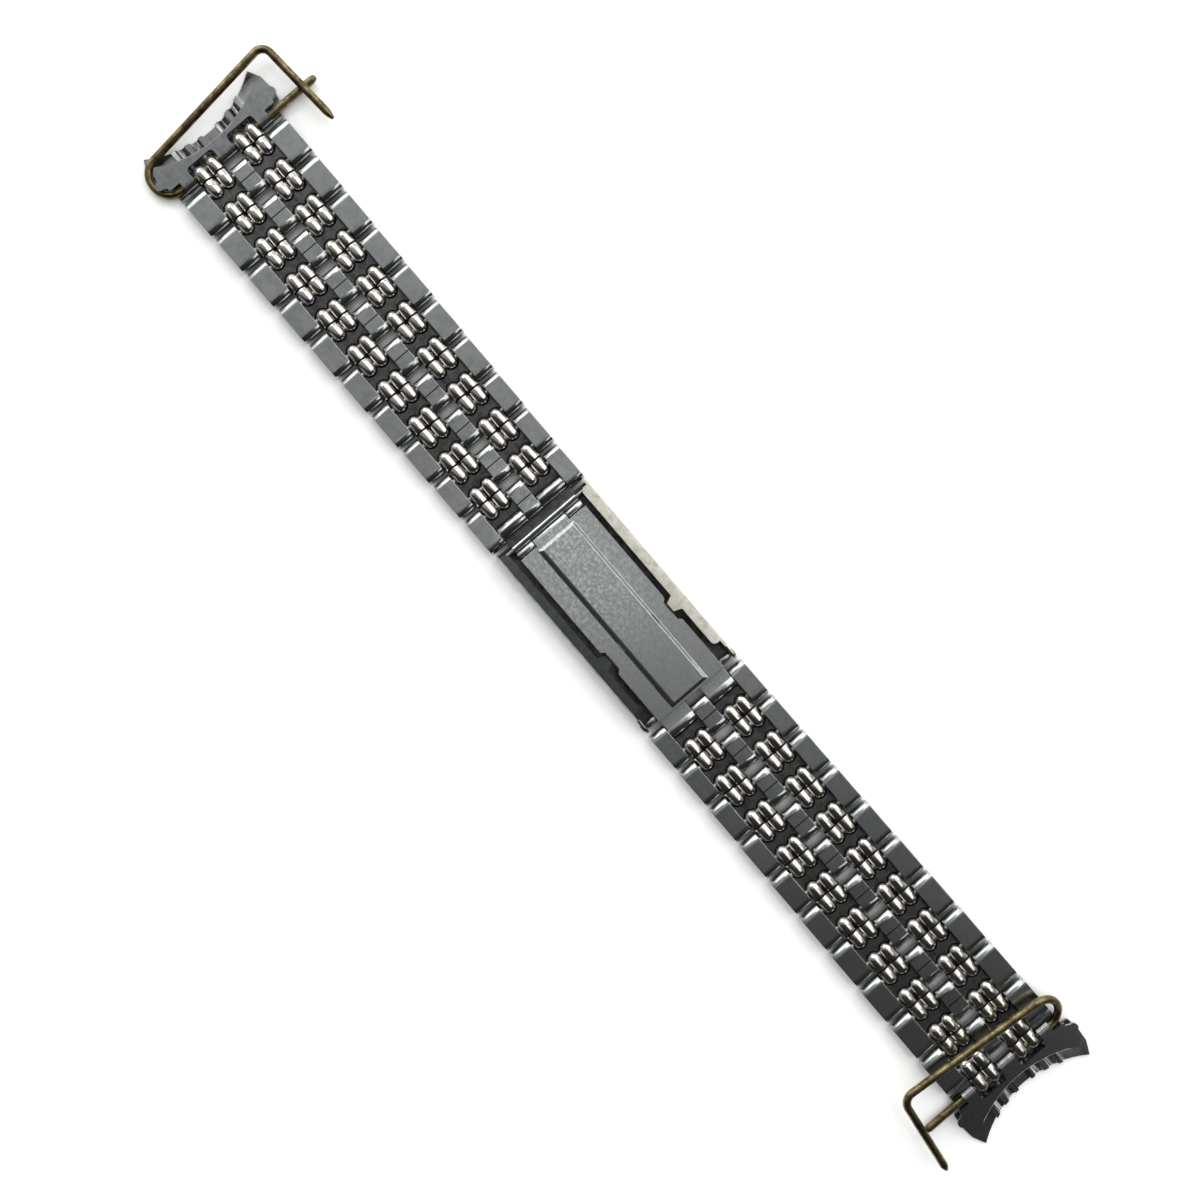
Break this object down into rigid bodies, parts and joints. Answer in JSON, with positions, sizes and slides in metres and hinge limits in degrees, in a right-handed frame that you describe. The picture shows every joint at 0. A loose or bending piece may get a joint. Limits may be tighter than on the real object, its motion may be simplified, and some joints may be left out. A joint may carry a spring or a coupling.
{
  "type": "watch bracelet",
  "caption": "Folded-link steel watch bracelet with rice-bead rows, a folding clasp with an adjuster, curved end pieces and bent brass keeper wires; laid open and flat, wrist side up.",
  "frame": {"origin": "middle of the clasp cover's outer face, on which the open bracelet lies", "axes": "+X along the band from end piece A, beside the adjuster, to end piece B; +Z from the outer face to the wrist side; +Y across the band"},
  "size_m": [0.1516, 0.0272, 0.0043],
  "materials": {
    "satin_steel": "satin, fine scratches",
    "polished_steel": "polished",
    "old_brass": "tarnished",
    "worn_steel": "worn"
  },
  "bodies": {
    "cover": {"clasp_cover": "satin_steel", "cover_hinge_pin": "worn_steel", "adjuster_spring_bar": "worn_steel"},
    "middle_blade": {"middle_blade": "satin_steel", "blade_hinge_pin": "worn_steel"},
    "inner_blade": {"inner_blade": "satin_steel"},
    "adjuster": {"adjuster_link": "satin_steel"},
    "a_flat_01": {"side_a_flat_row_01": "satin_steel"},
    "a_bead_01": {"side_a_bead_row_01": "polished_steel"},
    "a_flat_02": {"side_a_flat_row_02": "satin_steel"},
    "a_bead_02": {"side_a_bead_row_02": "polished_steel"},
    "a_flat_03": {"side_a_flat_row_03": "satin_steel"},
    "a_bead_03": {"side_a_bead_row_03": "polished_steel"},
    "a_flat_04": {"side_a_flat_row_04": "satin_steel"},
    "a_bead_04": {"side_a_bead_row_04": "polished_steel"},
    "a_flat_05": {"side_a_flat_row_05": "satin_steel"},
    "a_bead_05": {"side_a_bead_row_05": "polished_steel"},
    "a_flat_06": {"side_a_flat_row_06": "satin_steel"},
    "a_bead_06": {"side_a_bead_row_06": "polished_steel"},
    "a_flat_07": {"side_a_flat_row_07": "satin_steel"},
    "a_bead_07": {"side_a_bead_row_07": "polished_steel"},
    "a_flat_08": {"side_a_flat_row_08": "satin_steel"},
    "a_bead_08": {"side_a_bead_row_08": "polished_steel"},
    "a_flat_09": {"side_a_flat_row_09": "satin_steel"},
    "a_bead_09": {"side_a_bead_row_09": "polished_steel"},
    "a_flat_10": {"side_a_flat_row_10": "satin_steel"},
    "a_bead_10": {"side_a_bead_row_10": "polished_steel"},
    "end_a": {"end_a_back_plate": "satin_steel", "end_a_front_shell": "satin_steel"},
    "wire_a": {"end_a_keeper_wire": "old_brass"},
    "b_flat_01": {"side_b_flat_row_01": "satin_steel"},
    "b_bead_01": {"side_b_bead_row_01": "polished_steel"},
    "b_flat_02": {"side_b_flat_row_02": "satin_steel"},
    "b_bead_02": {"side_b_bead_row_02": "polished_steel"},
    "b_flat_03": {"side_b_flat_row_03": "satin_steel"},
    "b_bead_03": {"side_b_bead_row_03": "polished_steel"},
    "b_flat_04": {"side_b_flat_row_04": "satin_steel"},
    "b_bead_04": {"side_b_bead_row_04": "polished_steel"},
    "b_flat_05": {"side_b_flat_row_05": "satin_steel"},
    "b_bead_05": {"side_b_bead_row_05": "polished_steel"},
    "b_flat_06": {"side_b_flat_row_06": "satin_steel"},
    "b_bead_06": {"side_b_bead_row_06": "polished_steel"},
    "b_flat_07": {"side_b_flat_row_07": "satin_steel"},
    "b_bead_07": {"side_b_bead_row_07": "polished_steel"},
    "b_flat_08": {"side_b_flat_row_08": "satin_steel"},
    "b_bead_08": {"side_b_bead_row_08": "polished_steel"},
    "b_flat_09": {"side_b_flat_row_09": "satin_steel"},
    "b_bead_09": {"side_b_bead_row_09": "polished_steel"},
    "b_flat_10": {"side_b_flat_row_10": "satin_steel"},
    "b_bead_10": {"side_b_bead_row_10": "polished_steel"},
    "end_b": {"end_b_back_plate": "satin_steel", "end_b_front_shell": "satin_steel"},
    "wire_b": {"end_b_keeper_wire": "old_brass"}
  },
  "joints": [
    {"name": "cover_hinge", "type": "hinge", "parent": "cover", "child": "middle_blade", "pos_m": [0.0127, 0, 0.0009], "axis": [0, 1, 0], "range_deg": [0, 170]},
    {"name": "blade_hinge", "type": "hinge", "parent": "middle_blade", "child": "inner_blade", "pos_m": [-0.0118, 0, 0.00125], "axis": [0, 1, 0], "range_deg": [-170, 0]},
    {"name": "adjuster_hinge", "type": "hinge", "parent": "cover", "child": "adjuster", "pos_m": [-0.01275, 0, 0.0009], "axis": [0, -1, 0], "range_deg": [-30, 10]},
    {"name": "wire_b_hinge", "type": "hinge", "parent": "b_bead_10", "child": "wire_b", "pos_m": [0.06945, 0, 0.0009], "axis": [0, 1, 0], "range_deg": [0, 50]},
    {"name": "wire_a_slide", "type": "slide", "parent": "end_a", "child": "wire_a", "axis": [0, -1, 0], "range_m": [0, 0.0015]},
    {"name": "a_hinge_21", "type": "hinge", "parent": "a_bead_10", "child": "end_a", "pos_m": [-0.06945, 0, 0.0009], "axis": [0, 1, 0], "range_deg": [-25, 35]},
    {"name": "b_hinge_21", "type": "hinge", "parent": "b_bead_10", "child": "end_b", "pos_m": [0.06945, 0, 0.0009], "axis": [0, 1, 0], "range_deg": [-35, 25]},
    {"name": "a_hinge_20", "type": "hinge", "parent": "a_flat_10", "child": "a_bead_10", "pos_m": [-0.06673, 0, 0.0009], "axis": [0, -1, 0], "range_deg": [-40, 25]},
    {"name": "b_hinge_20", "type": "hinge", "parent": "b_flat_10", "child": "b_bead_10", "pos_m": [0.06673, 0, 0.0009], "axis": [0, -1, 0], "range_deg": [-25, 25]},
    {"name": "a_hinge_01", "type": "hinge", "parent": "adjuster", "child": "a_flat_01", "pos_m": [-0.01505, 0, 0.0009], "axis": [0, 1, 0], "range_deg": [-25, 40]},
    {"name": "b_hinge_01", "type": "hinge", "parent": "inner_blade", "child": "b_flat_01", "pos_m": [0.01505, 0, 0.0009], "axis": [0, 1, 0], "range_deg": [-40, 25]},
    {"name": "a_hinge_02", "type": "hinge", "parent": "a_flat_01", "child": "a_bead_01", "pos_m": [-0.01777, 0, 0.0009], "axis": [0, -1, 0], "range_deg": [-40, 25]},
    {"name": "b_hinge_02", "type": "hinge", "parent": "b_flat_01", "child": "b_bead_01", "pos_m": [0.01777, 0, 0.0009], "axis": [0, -1, 0], "range_deg": [-25, 40]},
    {"name": "a_hinge_10", "type": "hinge", "parent": "a_flat_05", "child": "a_bead_05", "pos_m": [-0.03953, 0, 0.0009], "axis": [0, -1, 0], "range_deg": [-40, 25]},
    {"name": "b_hinge_10", "type": "hinge", "parent": "b_flat_05", "child": "b_bead_05", "pos_m": [0.03953, 0, 0.0009], "axis": [0, -1, 0], "range_deg": [-25, 40]},
    {"name": "a_hinge_11", "type": "hinge", "parent": "a_bead_05", "child": "a_flat_06", "pos_m": [-0.04225, 0, 0.0009], "axis": [0, 1, 0], "range_deg": [-25, 40]},
    {"name": "b_hinge_11", "type": "hinge", "parent": "b_bead_05", "child": "b_flat_06", "pos_m": [0.04225, 0, 0.0009], "axis": [0, 1, 0], "range_deg": [-40, 25]},
    {"name": "a_hinge_03", "type": "hinge", "parent": "a_bead_01", "child": "a_flat_02", "pos_m": [-0.02049, 0, 0.0009], "axis": [0, 1, 0], "range_deg": [-25, 40]},
    {"name": "b_hinge_03", "type": "hinge", "parent": "b_bead_01", "child": "b_flat_02", "pos_m": [0.02049, 0, 0.0009], "axis": [0, 1, 0], "range_deg": [-40, 25]},
    {"name": "a_hinge_04", "type": "hinge", "parent": "a_flat_02", "child": "a_bead_02", "pos_m": [-0.02321, 0, 0.0009], "axis": [0, -1, 0], "range_deg": [-40, 25]},
    {"name": "b_hinge_04", "type": "hinge", "parent": "b_flat_02", "child": "b_bead_02", "pos_m": [0.02321, 0, 0.0009], "axis": [0, -1, 0], "range_deg": [-25, 40]},
    {"name": "a_hinge_05", "type": "hinge", "parent": "a_bead_02", "child": "a_flat_03", "pos_m": [-0.02593, 0, 0.0009], "axis": [0, 1, 0], "range_deg": [-25, 40]},
    {"name": "b_hinge_05", "type": "hinge", "parent": "b_bead_02", "child": "b_flat_03", "pos_m": [0.02593, 0, 0.0009], "axis": [0, 1, 0], "range_deg": [-40, 25]},
    {"name": "a_hinge_06", "type": "hinge", "parent": "a_flat_03", "child": "a_bead_03", "pos_m": [-0.02865, 0, 0.0009], "axis": [0, -1, 0], "range_deg": [-40, 25]},
    {"name": "b_hinge_06", "type": "hinge", "parent": "b_flat_03", "child": "b_bead_03", "pos_m": [0.02865, 0, 0.0009], "axis": [0, -1, 0], "range_deg": [-25, 40]},
    {"name": "a_hinge_07", "type": "hinge", "parent": "a_bead_03", "child": "a_flat_04", "pos_m": [-0.03137, 0, 0.0009], "axis": [0, 1, 0], "range_deg": [-25, 40]},
    {"name": "b_hinge_07", "type": "hinge", "parent": "b_bead_03", "child": "b_flat_04", "pos_m": [0.03137, 0, 0.0009], "axis": [0, 1, 0], "range_deg": [-40, 25]},
    {"name": "a_hinge_08", "type": "hinge", "parent": "a_flat_04", "child": "a_bead_04", "pos_m": [-0.03409, 0, 0.0009], "axis": [0, -1, 0], "range_deg": [-40, 25]},
    {"name": "b_hinge_08", "type": "hinge", "parent": "b_flat_04", "child": "b_bead_04", "pos_m": [0.03409, 0, 0.0009], "axis": [0, -1, 0], "range_deg": [-25, 40]},
    {"name": "a_hinge_09", "type": "hinge", "parent": "a_bead_04", "child": "a_flat_05", "pos_m": [-0.03681, 0, 0.0009], "axis": [0, 1, 0], "range_deg": [-25, 40]},
    {"name": "b_hinge_09", "type": "hinge", "parent": "b_bead_04", "child": "b_flat_05", "pos_m": [0.03681, 0, 0.0009], "axis": [0, 1, 0], "range_deg": [-40, 25]},
    {"name": "a_hinge_12", "type": "hinge", "parent": "a_flat_06", "child": "a_bead_06", "pos_m": [-0.04497, 0, 0.0009], "axis": [0, -1, 0], "range_deg": [-40, 25]},
    {"name": "b_hinge_12", "type": "hinge", "parent": "b_flat_06", "child": "b_bead_06", "pos_m": [0.04497, 0, 0.0009], "axis": [0, -1, 0], "range_deg": [-25, 40]},
    {"name": "a_hinge_13", "type": "hinge", "parent": "a_bead_06", "child": "a_flat_07", "pos_m": [-0.04769, 0, 0.0009], "axis": [0, 1, 0], "range_deg": [-25, 40]},
    {"name": "b_hinge_13", "type": "hinge", "parent": "b_bead_06", "child": "b_flat_07", "pos_m": [0.04769, 0, 0.0009], "axis": [0, 1, 0], "range_deg": [-40, 25]},
    {"name": "a_hinge_14", "type": "hinge", "parent": "a_flat_07", "child": "a_bead_07", "pos_m": [-0.05041, 0, 0.0009], "axis": [0, -1, 0], "range_deg": [-40, 25]},
    {"name": "b_hinge_14", "type": "hinge", "parent": "b_flat_07", "child": "b_bead_07", "pos_m": [0.05041, 0, 0.0009], "axis": [0, -1, 0], "range_deg": [-25, 40]},
    {"name": "a_hinge_15", "type": "hinge", "parent": "a_bead_07", "child": "a_flat_08", "pos_m": [-0.05313, 0, 0.0009], "axis": [0, 1, 0], "range_deg": [-25, 40]},
    {"name": "b_hinge_15", "type": "hinge", "parent": "b_bead_07", "child": "b_flat_08", "pos_m": [0.05313, 0, 0.0009], "axis": [0, 1, 0], "range_deg": [-40, 25]},
    {"name": "a_hinge_16", "type": "hinge", "parent": "a_flat_08", "child": "a_bead_08", "pos_m": [-0.05585, 0, 0.0009], "axis": [0, -1, 0], "range_deg": [-40, 25]},
    {"name": "b_hinge_16", "type": "hinge", "parent": "b_flat_08", "child": "b_bead_08", "pos_m": [0.05585, 0, 0.0009], "axis": [0, -1, 0], "range_deg": [-25, 40]},
    {"name": "a_hinge_17", "type": "hinge", "parent": "a_bead_08", "child": "a_flat_09", "pos_m": [-0.05857, 0, 0.0009], "axis": [0, 1, 0], "range_deg": [-25, 40]},
    {"name": "b_hinge_17", "type": "hinge", "parent": "b_bead_08", "child": "b_flat_09", "pos_m": [0.05857, 0, 0.0009], "axis": [0, 1, 0], "range_deg": [-40, 25]},
    {"name": "a_hinge_18", "type": "hinge", "parent": "a_flat_09", "child": "a_bead_09", "pos_m": [-0.06129, 0, 0.0009], "axis": [0, -1, 0], "range_deg": [-40, 25]},
    {"name": "b_hinge_18", "type": "hinge", "parent": "b_flat_09", "child": "b_bead_09", "pos_m": [0.06129, 0, 0.0009], "axis": [0, -1, 0], "range_deg": [-25, 40]},
    {"name": "a_hinge_19", "type": "hinge", "parent": "a_bead_09", "child": "a_flat_10", "pos_m": [-0.06401, 0, 0.0009], "axis": [0, 1, 0], "range_deg": [-25, 40]},
    {"name": "b_hinge_19", "type": "hinge", "parent": "b_bead_09", "child": "b_flat_10", "pos_m": [0.06401, 0, 0.0009], "axis": [0, 1, 0], "range_deg": [-40, 25]}
  ],
  "couplings": [
    {"joint": "blade_hinge", "follows": "cover_hinge", "ratio": -1}
  ]
}
